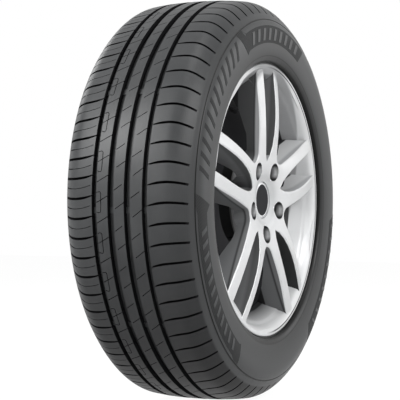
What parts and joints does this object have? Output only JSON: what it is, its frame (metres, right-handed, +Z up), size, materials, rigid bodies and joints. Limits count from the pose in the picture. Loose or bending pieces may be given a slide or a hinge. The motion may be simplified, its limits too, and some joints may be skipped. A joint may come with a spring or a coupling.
{
  "type": "car tyre on alloy wheel",
  "caption": "Passenger car tyre with a ribbed and slotted tread, mounted on a twin-spoke alloy wheel with a round centre cap and a snap-in valve.",
  "frame": {"origin": "centre of the wheel, on the axle line and on the tyre's middle plane", "axes": "+Y along the axle towards the car, -Y towards the street side, +Z up"},
  "size_m": [0.65, 0.222, 0.65],
  "materials": {
    "tyre_rubber": "matt moulded rubber",
    "silver_alloy": "cast alloy, silver lacquer",
    "silver_plastic": "silver lacquer",
    "dark_inlay": "satin dark grey",
    "valve_rubber": "moulded rubber",
    "brass": "turned brass",
    "black_plastic": "moulded black plastic"
  },
  "bodies": {
    "root": {"tyre": "tyre_rubber", "alloy_wheel": "silver_alloy", "centre_cap": "silver_plastic", "cap_inlay": "dark_inlay", "valve_stem": "valve_rubber", "valve_core": "brass", "valve_cap": "black_plastic"}
  },
  "joints": []
}
